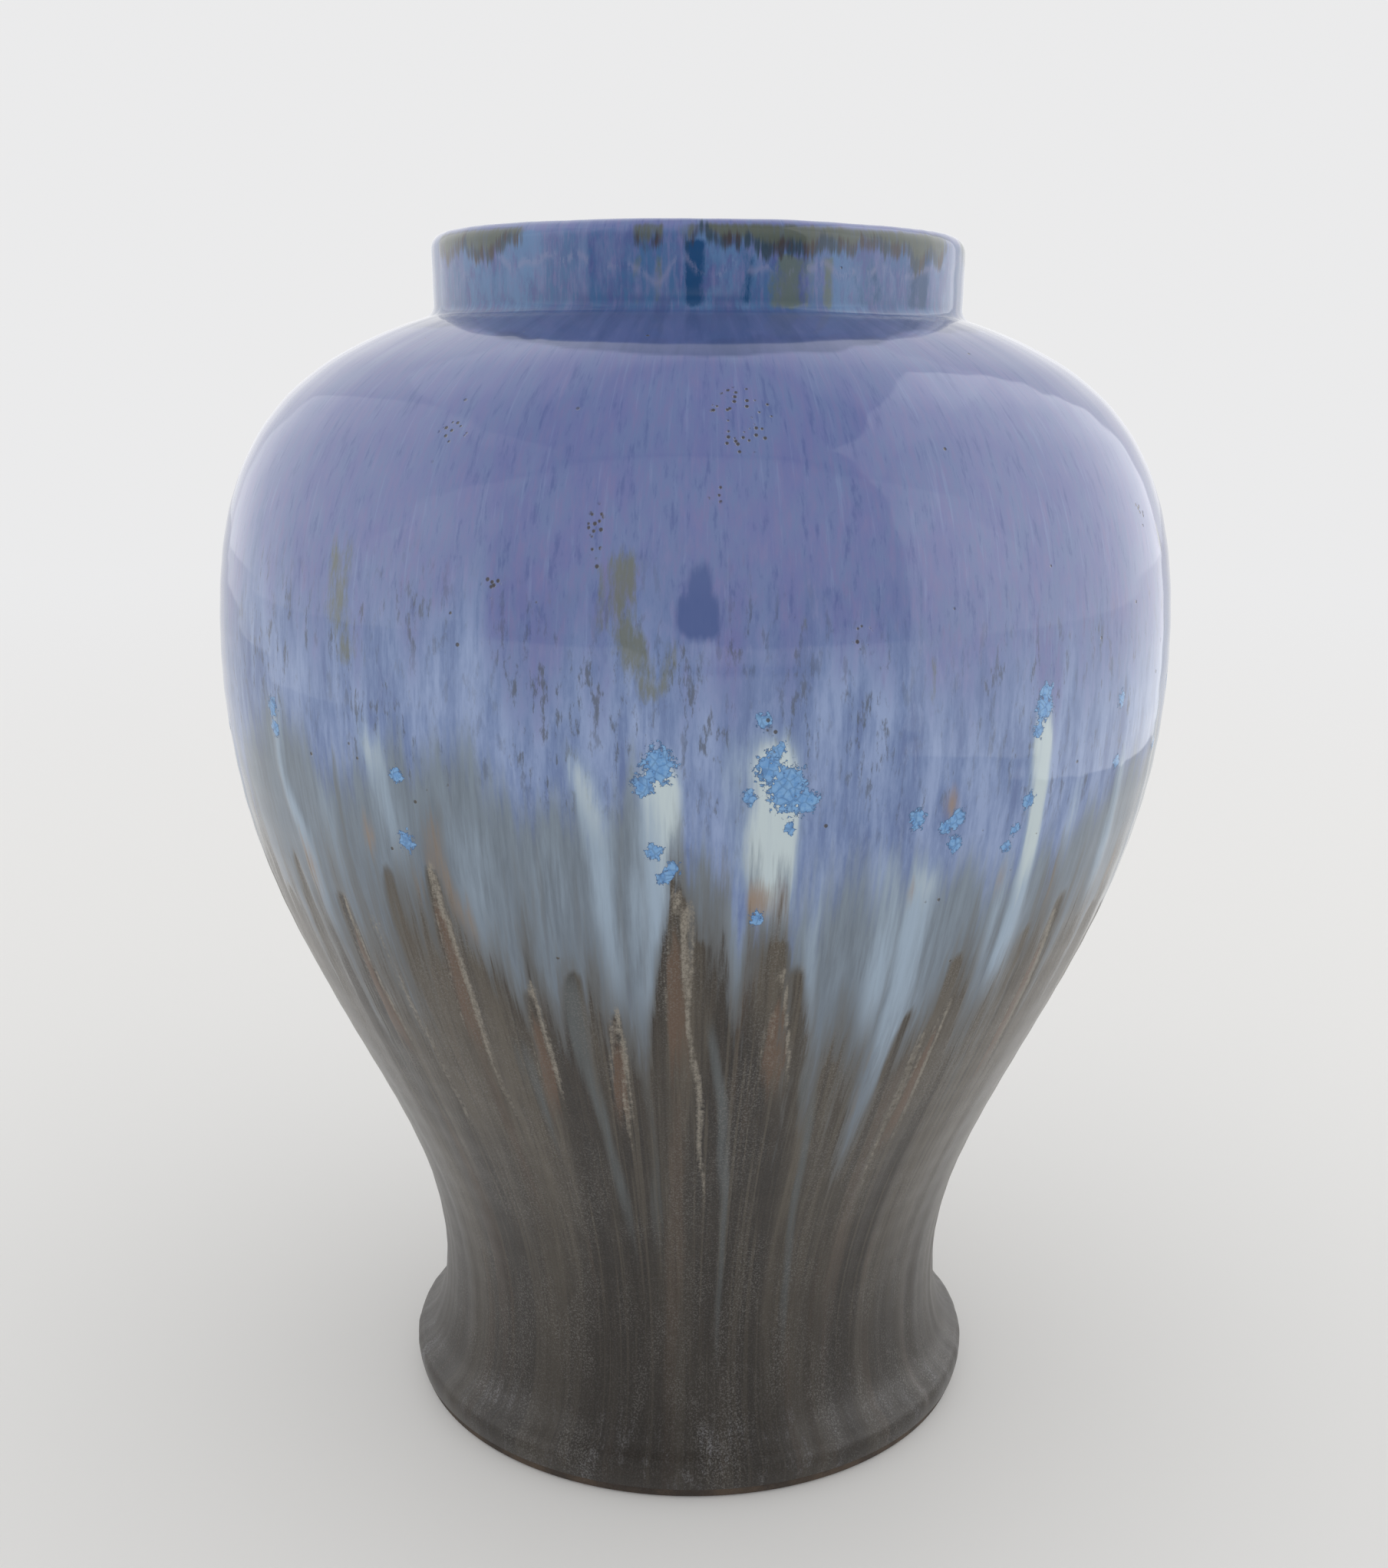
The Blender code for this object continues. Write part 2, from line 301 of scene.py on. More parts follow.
# Dry-edged tips: azimuth, height, half width at the base, length.
CRUSTS = [
    (-27.7, 187, 2, 66), (-0.9, 185, 2.6, 62), (-18.6, 158, 1.8, 50), (-9.3, 153, 1.5, 44),
    (9.6, 164, 2.6, 46), (-43, 172, 1.8, 56), (33, 150, 1.8, 60), (47, 168, 1.6, 60),
]
CRUSTS += [(a, back.uniform(148, 188), back.uniform(1.4, 2.6), 55) for a in round_the_back(17)]

# Pale runs: path, half width in degrees, strength.
PALE_RUNS = [
    (((-50.2, 226), (-49.5, 199), (-47, 185), (-46.4, 140)), 1.5, 0.95),
    (((-34.4, 224), (-33.2, 200), (-32, 168)), 1.7, 0.85),
    (((-41.5, 210), (-40.5, 150)), 1.8, 0.50),
    (((-24, 205), (-22.5, 135)), 2.2, 0.45),
    (((-11.9, 224), (-10.3, 200), (-9.6, 175), (-7.6, 130)), 1.4, 0.80),
    (((-15.5, 205), (-14.8, 150)), 1.6, 0.45),
    (((-3.9, 221), (-3.2, 200), (-3.4, 152)), 2.8, 1.50),
    (((-6, 198), (-5.6, 126)), 1.7, 0.80),
    (((6.4, 226), (7.6, 204), (8, 158)), 2.9, 1.20),
    (((4.5, 190), (4.8, 120)), 1, 0.50),
    (((13, 200), (13.4, 112)), 0.9, 0.70),
    (((18.6, 200), (20.4, 178), (21.6, 122)), 1.8, 0.85),
    (((24, 196), (24.8, 160), (26.3, 104)), 2.3, 0.95),
    (((38.2, 228), (38.3, 195), (39.8, 130)), 1.6, 1.05),
    (((35, 196), (36.6, 134)), 1.2, 0.60),
    (((46, 210), (45.2, 160)), 1.2, 0.50),
    (((54.2, 214), (54.6, 148)), 1.8, 0.90),
]
for azimuth in round_the_back(9.5):
    top = back.uniform(196, 222)
    bottom = back.uniform(132, 172)
    path = ((azimuth, top + 6), (azimuth + back.uniform(-1.5, 1.5), bottom - 18))
    PALE_RUNS.append((path, back.uniform(1.1, 2.8), back.uniform(0.4, 1)))

# Thick blue glaze that hangs low between the tips.
LOW_RUNS = [
    (((-22.5, 205), (-22, 146)), 3, 0.8),
    (((-6, 205), (-5.6, 148)), 2, 0.7),
    (((15.5, 205), (16.5, 150)), 3.2, 0.9),
    (((24, 205), (25.6, 122)), 4, 1),
    (((37.5, 205), (38.8, 140)), 2.6, 0.8),
    (((53, 205), (54, 150)), 3, 0.8),
]
for azimuth in round_the_back(13):
    path = ((azimuth, 205), (azimuth, back.uniform(118, 156)))
    LOW_RUNS.append((path, back.uniform(2.2, 4.2), 0.8))

OLIVE_RUNS = [
    (((-7.6, 262), (-7.2, 243), (-6, 235), (-4, 224)), 1.9, 1.15),
    (((-2, 243), (-3.8, 224)), 1, 1),
    (((-38.6, 262), (-38, 243), (-35.2, 227)), 2.2, 0.85),
    (((-12.6, 253), (-12.4, 243)), 0.6, 0.8),
    (((23.5, 240), (23, 220)), 0.6, 0.5),
    (((37.6, 252), (37.4, 243)), 0.5, 0.5),
    (((10, 250), (10.2, 238)), 0.5, 0.5),
]
for azimuth in round_the_back(19):
    top = back.uniform(240, 268)
    path = ((azimuth, top), (azimuth + back.uniform(-2, 3), top - back.uniform(12, 34)))
    OLIVE_RUNS.append((path, back.uniform(0.5, 1.4), back.uniform(0.5, 1)))

# Sky-blue crystal patches: azimuth, height, size in millimetres.
CRYSTALS = [
    (-3.4, 212.6, 5), (-4.8, 208, 3.2), (8.9, 207.4, 6.2), (7, 212.2, 4), (10.8, 204.2, 3.8),
    (-3.8, 192.8, 2.4), (-2, 188.8, 2.2), (-2.9, 186.5, 2), (9.3, 198.3, 1.8), (8.1, 216.3, 1.8),
    (6.5, 222.4, 2), (5.3, 205.4, 2), (36.7, 199.1, 2.3), (37.6, 221, 3.6), (37.9, 224.4, 2.6),
    (36.9, 215.6, 2.2), (27.5, 197.3, 2.9), (27.6, 191, 2.7), (22.7, 198.1, 2.8), (35.5, 192.4, 1.9),
    (34.7, 188.2, 1.9), (52.1, 218.8, 2.4), (52.4, 203, 2.2), (-50.8, 210.4, 2.4), (-51.1, 215.4, 3),
    (-31.3, 205.7, 2.2), (-31, 189.5, 3), (6.5, 176.5, 2.1), (26.2, 195.5, 2.2),
]
for azimuth in round_the_back(6):
    size = back.choice([1.8, 2.2, 2.8, 3.6, 6, 8], p=[0.3, 0.25, 0.2, 0.13, 0.07, 0.05])
    CRYSTALS.append((azimuth, back.uniform(188, 222), float(size)))

# Thin dry lines on the matt glaze: path, half width in degrees, strength.
DRY_LINES = [
    (((-27.6, 187), (-26.9, 168), (-26.2, 146), (-26.4, 127), (-24.8, 92)), 0.62, 1),
    (((0.5, 183), (1, 160), (1.3, 140), (1.7, 118), (2, 70)), 0.50, 1),
    (((-18.4, 158), (-17.4, 134), (-16.5, 100)), 0.45, 0.7),
    (((-9.3, 152), (-8.8, 127), (-8.6, 84)), 0.60, 0.8),
    (((8.7, 163), (9.2, 132), (9.8, 108)), 0.45, 0.6),
    (((-38.5, 170), (-37, 120), (-35, 70)), 0.7, 0.7),
    (((30.5, 142), (31, 110), (33, 62)), 0.8, 0.8),
    (((36.5, 138), (38, 96)), 0.6, 0.5),
    (((-0.9, 127), (-0.1, 122), (-0.8, 116), (-0.2, 109)), 0.32, 1),
    (((14.9, 133), (13.9, 126), (14.6, 119), (13.9, 109)), 0.32, 0.9),
]
for azimuth in round_the_back(10):
    top = back.uniform(130, 184)
    path = ((azimuth, top), (azimuth + back.uniform(-2, 2), back.uniform(55, 105)))
    DRY_LINES.append((path, back.uniform(0.4, 0.7), back.uniform(0.4, 1)))

# Blue-grey streaks that reach down to the foot.
COOL_STREAKS = [
    (((3, 160), (4.4, 100), (5.2, 60), (5.9, 8)), 0.75, 0.9),
    (((13.8, 146), (16.6, 106), (19.7, 60), (21, 12)), 1.2, 0.9),
    (((-14.8, 172), (-12.4, 120), (-11, 90), (-8.5, 50)), 1.3, 0.95),
    (((-6, 150), (-5.6, 95), (-5, 45)), 1, 0.7),
    (((-22, 150), (-19, 80)), 1.6, 0.6),
    (((24.5, 130), (23, 90)), 2.4, 0.8),
    (((-33, 150), (-31, 100)), 1.5, 0.5),
    (((40, 140), (41, 80)), 1.5, 0.6),
]
for azimuth in round_the_back(11):
    top = back.uniform(135, 165)
    path = ((azimuth, top), (azimuth + back.uniform(-3, 3), back.uniform(15, 90)))
    COOL_STREAKS.append((path, back.uniform(0.6, 2), back.uniform(0.4, 0.9)))

# Clusters of pinholes: azimuth, height, size in millimetres, and how much taller than wide.
PITS = [
    (2, 270.2, 2.5, 1.2), (-27.7, 282, 5, 0.8), (-9.8, 262, 2.5, 3), (16, 240, 3, 1.2),
    (7.5, 222, 3, 1.2), (-20, 250, 3, 1.2), (60, 262, 3.5, 1.2), (104, 279, 6, 1.2),
    (151, 262, 3, 2.5), (188, 284, 5, 1.2), (233, 256, 4, 2),
]

# Where the glaze broke olive and brown over the lip: azimuth from, to, strength.
LIP_BREAKS = [
    (-70, -37, 1), (-14, -7.5, 0.8), (-3, 63, 1), (70, 100, 0.8), (116, 128, 0.7), (141, 176, 1),
    (198, 206, 0.8), (222, 270, 0.9),
]

# Patches of colour down the neck: azimuth, half width in degrees, strength.
NECK_COBALT = [
    (0, 2.6, 1), (-16, 2, 0.3), (9.5, 2.2, 0.6), (35, 6, 0.55), (50, 4.5, 0.85),
    (83, 3, 0.8), (121, 2, 0.9), (160, 3.5, 0.7), (214, 2.5, 0.9), (251, 3, 0.7),
]
NECK_OLIVE = [
    (17.3, 3.4, 1), (24.6, 1.8, 0.8), (-9, 1.6, 0.5), (-13, 1, 0.4), (95, 3, 0.8),
    (150, 2.2, 0.9), (189, 3.4, 0.7), (236, 2.4, 0.8),
]
NECK_SKY = [
    (-46, 12, 1), (6, 7, 0.6), (34, 9, 0.7), (55, 8, 0.5), (110, 9, 0.8),
    (172, 12, 0.8), (225, 10, 0.9),
]


# Painted dark reflection of the neck on the shoulder round the foot of the neck, whose lower edge bows down
# in front.
NECK_REFLECTION_BOTTOM = 298.5
NECK_REFLECTION_BOW = 5.3
NECK_REFLECTION_HALF_WIDTH = 34.5

LIP_DRIP_END = 324.5


def weighted(runs, soft_top, soft_bottom):
    return strongest(s * run(path, width, soft_top, soft_bottom) for path, width, s in runs)


def sector(places):
    return strongest(s * np.exp(-np.abs(wrapped(FLOWED - a) / w) ** 3) for a, w, s in places)


def neck_zone(bottom, top):
    """1 on the outside of the neck and lip between two heights."""
    above = smooth(bottom - 2, bottom + 1, HEIGHT)
    return OUTSIDE * above * (1 - smooth(top - 1, top + 1.5, HEIGHT))


def edge_lines():
    """The heights of the two edges round the vase: as placed in front, wandering at the back."""
    places = np.array(EDGES, float)
    behind = smooth(58, 68, np.abs(AZIMUTH))
    blue = np.interp(FLOWED[:1], places[:, 0], places[:, 1])
    matt = np.interp(FLOWED[:1], places[:, 0], places[:, 2])
    wander = field(3.6, 500, 41)[:1]
    gap = 26 + 9 * np.abs(field(2.2, 500, 42)[:1])
    far_blue = 178 + 8 * wander
    return (1 - behind) * blue + behind * far_blue, (1 - behind) * matt + behind * (far_blue - gap)


def glaze_fields():
    """Every glaze as a soft field over the grid; the materials turn them into ragged edges."""
    fields = {}
    broad = field(5, 45, 21)
    strands = field(1.1, 26, 22)
    threads = field(0.5, 12, 23)

    low = weighted(LOW_RUNS, 30, 30)
    blue_edge, matt_edge = edge_lines()
    blend = (blue_edge + 24 - 14 * low - HEIGHT) / (blue_edge - matt_edge + 40)
    blend += 0.10 * strands + 0.05 * threads
    tips = strongest(tip(*place) for place in TIPS)
    fields["sunk"] = np.clip(np.maximum(blend, 0.98 * tips), 0, 1.2)
    turn = 18 * smooth(-7, 6, AZIMUTH) * (1 - smooth(44, 60, AZIMUTH))
    fields["steel"] = 1 - smooth(180, 222, HEIGHT + turn + 5 * broad + 5 * strands)

    fields["violet"] = smooth(200, 262, HEIGHT + 8 * broad + 6 * strands)

    pale = weighted(PALE_RUNS, 16, 34)
    fields["pale"] = np.clip(pale * (1 + 0.16 * strands + 0.10 * threads), 0, 1.1)

    ochre = strongest([
        1.1 * blot(6.2, 181, 4.6, 1.9),
        0.9 * blot(26.5, 201, 4, 2.2),
        0.8 * blot(-48.6, 176, 6, 3.4),
        0.7 * blot(-36, 189, 6, 2),
        0.6 * blot(23, 180, 3, 3),
        0.6 * blot(35, 180, 4, 3),
    ])
    rim = np.exp(-((fields["sunk"] - 0.55) / 0.22) ** 2)
    fields["ochre"] = np.clip(ochre + 0.55 * rim * smooth(0.6, 2.2, field(1.4, 30, 24)), 0, 1)

    fields["crystal"] = strongest(blot(*place) for place in CRYSTALS)
    fields["olive"] = weighted(OLIVE_RUNS, 8, 6)
    drop = run(((0.5, 262), (0.6, 236)), 1.3, 12, 7)
    widening = run(((0.5, 254), (0.6, 237)), 2.7, 8, 6)
    fields["cobalt"] = np.maximum(drop, widening)

    crusts = [crust(*place) for place in CRUSTS]
    lines = 0.8 * weighted(DRY_LINES, 4, 40)
    dry = np.maximum(lines, strongest(edge for edge, _ in crusts))
    fields["dry"] = dry * smooth(0.25, 0.6, fields["sunk"])
    fields["rust"] = strongest(inside for _, inside in crusts)
    fields["cool"] = weighted(COOL_STREAKS, 20, 45)

    lip_drips = 2.2 * field(1.6, 400, 25) + 1.6 * field(0.6, 400, 26)
    broken = np.zeros((ROWS, COLUMNS))
    for start, end, strength in LIP_BREAKS:
        centre, half = (start + end) / 2, (end - start) / 2
        inside = 1 - smooth(0.82, 1.12, np.abs(wrapped(FLOWED - centre)) / half)
        broken = np.maximum(broken, strength * inside)
    drip_end = LIP_DRIP_END - 0.40 * lip_drips - 2.4 * np.exp(-((AZIMUTH - 50) / 7) ** 2)
    band = smooth(-1.6, 2.2, HEIGHT - drip_end) * (1 - smooth(327.6, 329.6, HEIGHT))
    fields["lip_break"] = broken * band * OUTSIDE
    fields["lip_dark"] = broken * np.exp(-((HEIGHT - drip_end + 0.2) / 2.6) ** 2) * OUTSIDE
    scallop = 319.8 + 2 * field(1.8, 400, 43)
    fields["neck_edge"] = np.exp(-(HEIGHT - scallop) ** 2) * OUTSIDE

    neck = neck_zone(309.5, 327)
    patchy = field(2.5, 7, 27)
    fields["neck_sky"] = np.clip(sector(NECK_SKY) * (0.75 + 0.35 * patchy), 0, 1) * neck
    fields["neck_cobalt"] = sector(NECK_COBALT) * neck_zone(310.5, 324.5)
    fields["neck_olive"] = sector(NECK_OLIVE) * neck_zone(310, 321.5)
    fields["neck"] = neck

    centre = blot(4.9, 285.1, 7.5, 1)
    pits = [blot(*place) for place in PITS]
    fields["pits"] = strongest([centre * smooth(0.25, 0.5, 1 - centre) * 3] + pits)
    fields["foot_bloom"] = 1 - smooth(9, 26, HEIGHT + 4 * field(4, 8, 28))
    gloom = 0.8 * field(3.2, 38, 29) + 0.6 * field(1.3, 60, 30)
    fields["gloom"] = np.clip(0.72 - 0.44 * smooth(88, 150, HEIGHT) + 0.34 * gloom, 0, 1)
    fields["low"] = 1 - smooth(10, 112, HEIGHT)
    fields["feathers"] = smooth(186, 206, HEIGHT) * (1 - smooth(228, 256, HEIGHT + 7 * broad))
    # Painted dark reflection of the neck: a darker band round the neck's foot whose lower edge bows down in
    # front.
    bow = NECK_REFLECTION_BOW * np.minimum((AZIMUTH / NECK_REFLECTION_HALF_WIDTH) ** 2, 1.2)
    reflection_edge = NECK_REFLECTION_BOTTOM + bow + 0.25 * field(1.5, 400, 44)[:1]
    neck_reflection = smooth(-0.35, 0.45, HEIGHT - reflection_edge)
    fields["neck_shade"] = 0.22 * smooth(258, 284, HEIGHT) * (1 - neck_reflection)
    fields["neck_reflection"] = neck_reflection * (1 - smooth(310, 314, HEIGHT))
    return {name: values * np.ones((ROWS, COLUMNS)) for name, values in fields.items()}


fields = glaze_fields()


RELIEF_MEAN = 0.12


def relief():
    """Thickness of the glaze above its mean, in millimetres."""
    sway = 0.10 * field(9, 30, 31) + 0.035 * field(3, 9, 32)
    throwing = 0.035 * np.sin(HEIGHT * 2 * math.pi / 9.5 + 0.6 * field(40, 20, 33))
    runs = 0.22 * fields["pale"] + 0.12 * fields["olive"] + 0.10 * fields["cobalt"]
    edges = -0.10 * smooth(0.5, 0.95, fields["sunk"]) - 0.12 * fields["dry"]
    streaks = 0.05 * field(1.2, 30, 34) * (0.4 + fields["sunk"])
    crystals = 0.10 * smooth(0.2, 0.6, fields["crystal"])
    at_lip = smooth(0, 8, outline.end - RUNS)[:, None]
    fade = np.minimum(smooth(0, 6, HEIGHT - GLAZE_FOOT_LINE), at_lip)
    return (sway + throwing + runs + edges + streaks + crystals - RELIEF_MEAN) * fade


# -------------------- meshes


def placed(radius, height, azimuth):
    """World points from radius and height in millimetres and azimuth in degrees."""
    angle = np.radians(azimuth)
    shape = np.broadcast_shapes(np.shape(radius), np.shape(height), np.shape(angle))
    x = np.broadcast_to(radius * np.sin(angle), shape)
    y = np.broadcast_to(-radius * np.cos(angle), shape)
    z = np.broadcast_to(height, shape)
    return np.stack([x, y, z], axis=-1) * MM


def ring_faces(first, second, columns):
    """Quads between two rings of vertices, given by their first vertex numbers."""
    here = np.arange(columns)
    there = (here + 1) % columns
    return np.stack([first + here, first + there, second + there, second + here], axis=1).tolist()


def closed_faces(rings, columns):
    """Quads round a closed section of so many rings."""
    pairs = [(k * columns, ((k + 1) % rings) * columns) for k in range(rings)]
    return [face for pair in pairs for face in ring_faces(*pair, columns)]


SHARP_ANGLE = math.radians(38)


def linked(name, data):
    thing = bpy.data.objects.new(name, data)
    bpy.context.collection.objects.link(thing)
    return thing


def mesh_object(name, points, faces, normals=None):
    mesh = bpy.data.meshes.new(name)
    mesh.from_pydata(points.reshape(-1, 3).tolist(), [], faces)
    mesh.shade_smooth()
    if normals is None:
        mesh.set_sharp_from_angle(angle=SHARP_ANGLE)
    else:
        mesh.normals_split_custom_set_from_vertices(normals.reshape(-1, 3).tolist())
    return linked(name, mesh)


def turned(name, section, columns=160):
    """A closed section, listed outside going up and inside coming down, turned round the axis."""
    section = np.array(section)
    azimuth = np.arange(columns) * 360.0 / columns
    points = placed(section[:, :1], section[:, 1:], azimuth[None, :])
    return mesh_object(name, points, closed_faces(len(section), columns))


def turned_to_axis(name, section, columns=160):
    """A section whose first and last points lie on the axis, which become one vertex each."""
    section = np.array(section)
    azimuth = np.arange(columns) * 360.0 / columns
    rings = placed(section[1:-1, :1], section[1:-1, 1:], azimuth[None, :]).reshape(-1, 3)
    poles = np.array([[0.0, 0.0, section[0, 1]], [0.0, 0.0, section[-1, 1]]]) * MM
    points = np.concatenate([rings, poles])
    count = len(section) - 2
    faces = [face for k in range(count - 1) for face in ring_faces(k * columns, (k + 1) * columns, columns)]
    last = (count - 1) * columns
    turns = [(k, (k + 1) % columns) for k in range(columns)]
    faces += [[len(rings), b, a] for a, b in turns]
    faces += [[len(rings) + 1, last + a, last + b] for a, b in turns]
    return mesh_object(name, points, faces)


def outside_grid():
    """Outer surface with its relief, and its normals, over the whole grid."""
    lift = relief()
    inward = outline.inward_at(RUNS)
    radius = RADIUS - lift * inward[:, :1]
    height = HEIGHT - lift * inward[:, 1:]
    points = placed(radius, height, AZIMUTH)
    down = np.gradient(points, axis=0)
    around = (np.roll(points, -1, axis=1) - np.roll(points, 1, axis=1)) / 2.0
    normals = np.cross(around, down)
    normals /= np.linalg.norm(normals, axis=2)[:, :, None]
    return points, normals


GRID_POINTS, GRID_NORMALS = outside_grid()


def glaze_band(name, low, high, rows_inside):
    """A closed shell of glaze between two rows, carrying the fields on its outside."""
    outside = GRID_POINTS[low:high + 1]
    count = high - low + 1
    inner_runs = np.linspace(RUNS[high], RUNS[low], int(count * rows_inside))
    section = outline.at(inner_runs, GLAZE)
    inside = placed(section[:, :1], section[:, 1:], AZIMUTH)
    points = np.concatenate([outside, inside])
    total = len(points)
    inward = outline.inward_at(inner_runs)
    inner_normals = placed(inward[:, :1], inward[:, 1:], AZIMUTH)
    inner_normals /= np.linalg.norm(inner_normals, axis=2)[:, :, None]
    normals = np.concatenate([GRID_NORMALS[low:high + 1], inner_normals])
    piece = mesh_object(name, points, closed_faces(total, COLUMNS), normals)
    for field_name, values in fields.items():
        inner_values = np.broadcast_to(values[low:low + 1], (total - count, COLUMNS))
        data = np.concatenate([values[low:high + 1], inner_values]).astype(np.float32)
        attribute = piece.data.attributes.new(field_name, "FLOAT", "POINT")
        attribute.data.foreach_set("value", data.ravel())
    return piece


# -------------------- materials


class Graph:
    """Short names for building one node tree."""

    def __init__(self, tree):
        self.tree = tree
        self.made = {}

    def feed(self, socket, value):
        if isinstance(value, bpy.types.NodeSocket):
            self.tree.links.new(value, socket)
        elif value is not None:
            socket.default_value = value

    def node(self, kind, inputs=None, **settings):
        """A node with its settings, and its inputs fed by name or number."""
        node = self.tree.nodes.new("ShaderNode" + kind)
        for key, value in settings.items():
            setattr(node, key, value)
        for key, value in (inputs or {}).items():
            self.feed(node.inputs[key], value)
        return node

    def once(self, key, make):
        """The socket made the first time this key is asked for."""
        if key not in self.made:
            self.made[key] = make()
        return self.made[key]

    def maths(self, operation, a, b=None):
        return self.node("Math", {0: a, 1: b}, operation=operation).outputs[0]

    def add(self, a, b):
        return self.maths("ADD", a, b)

    def times(self, a, b):
        return self.maths("MULTIPLY", a, b)

    def swing(self, noise, amount):
        """How far the noise is from its middle, times an amount."""
        return self.times(self.add(noise, -0.5), amount)

    def field(self, name):
        return self.once(name, lambda: self.node("Attribute", attribute_name=name).outputs["Fac"])

    def step(self, value, low, high, top=1.0, bottom=0.0):
        """The value eased from bottom at low to top at high."""
        ends = {"Value": value, "From Min": low, "From Max": high, "To Min": bottom, "To Max": top}
        return self.node("MapRange", ends, interpolation_type="SMOOTHSTEP").outputs["Result"]

    def mix(self, amount, a, b):
        """Colour a where the amount is 0, colour b where it's 1."""
        a, b = [(*colour, 1.0) if isinstance(colour, tuple) else colour for colour in (a, b)]
        return self.node("Mix", {0: amount, 6: a, 7: b}, data_type="RGBA").outputs[2]

    def layers(self, colour, covers):
        """A colour with each (amount, colour) laid over it in turn."""
        for amount, cover in covers:
            colour = self.mix(amount, colour, cover)
        return colour

    def noise(self, vector, scale, detail=4.0, roughness=0.55):
        inputs = {"Vector": vector, "Scale": scale, "Detail": detail, "Roughness": roughness}
        return self.node("TexNoise", inputs).outputs["Fac"]

    def cells(self, vector, scale, feature="F1", output="Distance"):
        return self.node("TexVoronoi", {"Vector": vector, "Scale": scale}, feature=feature).outputs[output]

    def scaled(self, vector, scale):
        return self.node("VectorMath", {0: vector, "Scale": scale}, operation="SCALE").outputs[0]

    def place(self):
        return self.once("place", lambda: self.node("TexCoord").outputs["Object"])

    def round_the_axis(self):
        """The direction out from the axis, times the mean radius in millimetres."""
        split = self.node("SeparateXYZ", {0: self.place()}).outputs
        flat = self.node("CombineXYZ", {0: split[0], 1: split[1]}).outputs[0]
        unit = self.node("VectorMath", {0: flat}, operation="NORMALIZE").outputs[0]
        return self.scaled(unit, MEAN_RADIUS)

    def height(self):
        """Height above the table in millimetres."""
        return self.times(self.node("SeparateXYZ", {0: self.place()}).outputs[2], 1.0 / MM)

    def run_down(self, stretch):
        height = self.once("height", self.height)
        tall = self.node("CombineXYZ", {2: self.times(height, 1.0 / stretch)}).outputs[0]
        around = self.once("round", self.round_the_axis)
        return self.node("VectorMath", {0: around, 1: tall}, operation="ADD").outputs[0]

    def flow(self, stretch):
        """Millimetres round and down the vase, heights divided by stretch so noise runs down."""
        return self.once(("flow", stretch), lambda: self.run_down(stretch))

    def millimetres(self):
        return self.once("millimetres", lambda: self.scaled(self.place(), 1.0 / MM))

    def bump(self, height, distance, strength):
        """The normal over bumps whose distance is in millimetres."""
        inputs = {"Strength": strength, "Distance": distance * MM, "Height": height}
        return self.node("Bump", inputs).outputs["Normal"]

    def dress(self, shader, colour, roughness, normal):
        for name, value in (("Base Color", colour), ("Roughness", roughness), ("Normal", normal)):
            self.feed(shader.inputs[name], value)


VIOLET = (0.155, 0.178, 0.385)
LILAC = (0.190, 0.188, 0.380)
BLUE_VIOLET = (0.155, 0.205, 0.395)
DEEP_VIOLET = (0.074, 0.108, 0.285)
# Colours of the painted dark reflection of the neck on the shoulder.
NECK_REFLECTION = (0.062, 0.092, 0.245)
NECK_REFLECTION_DARK = (0.038, 0.068, 0.200)
CORNFLOWER = (0.165, 0.235, 0.430)
LIGHT_CORNFLOWER = (0.275, 0.355, 0.570)
DARK_CORNFLOWER = (0.105, 0.150, 0.320)
STEEL = (0.138, 0.172, 0.215)
STEEL_LIGHT = (0.208, 0.262, 0.325)
SLATE = (0.090, 0.090, 0.088)
SLATE_LIGHT = (0.148, 0.166, 0.184)
PALE = (0.530, 0.620, 0.650)
PALE_BLUE = (0.350, 0.450, 0.570)
GUNMETAL = (0.045, 0.035, 0.026)
GUNMETAL_LIGHT = (0.090, 0.076, 0.057)
GUNMETAL_DARK = (0.017, 0.013, 0.010)
COOL_GREY = (0.096, 0.110, 0.116)
RUST = (0.120, 0.072, 0.045)
TAN = (0.270, 0.245, 0.205)
OCHRE = (0.300, 0.215, 0.150)
OLIVE = (0.150, 0.165, 0.130)
OLIVE_DARK = (0.064, 0.073, 0.078)
OLIVE_BROWN = (0.055, 0.045, 0.030)
BROWN = (0.050, 0.036, 0.034)
LILAC_LIGHT = (0.240, 0.245, 0.410)
LIP_OLIVE = (0.088, 0.104, 0.072)
LIP_TEAL = (0.025, 0.050, 0.075)
NECK_OLIVE_TINT = (0.115, 0.150, 0.125)
COBALT = (0.075, 0.115, 0.285)
TEAL = (0.002, 0.055, 0.170)
SKY = (0.125, 0.300, 0.600)
SKY_LIGHT = (0.200, 0.390, 0.660)
SKY_DARK = (0.045, 0.110, 0.250)
NECK_BLUE = (0.056, 0.140, 0.310)
NECK_LIGHT_BLUE = (0.098, 0.206, 0.400)
FROST = (0.230, 0.222, 0.212)
SCUFF = (0.220, 0.220, 0.240)


def new_material(name):
    """A material, the graph of its nodes and its shader."""
    material = bpy.data.materials.new(name)
    material.use_nodes = True
    return material, Graph(material.node_tree), material.node_tree.nodes["Principled BSDF"]


PORE_CELLS = 0.62
GLOSSY_ROUGHNESS = 0.07
MATT_ROUGHNESS = 0.27


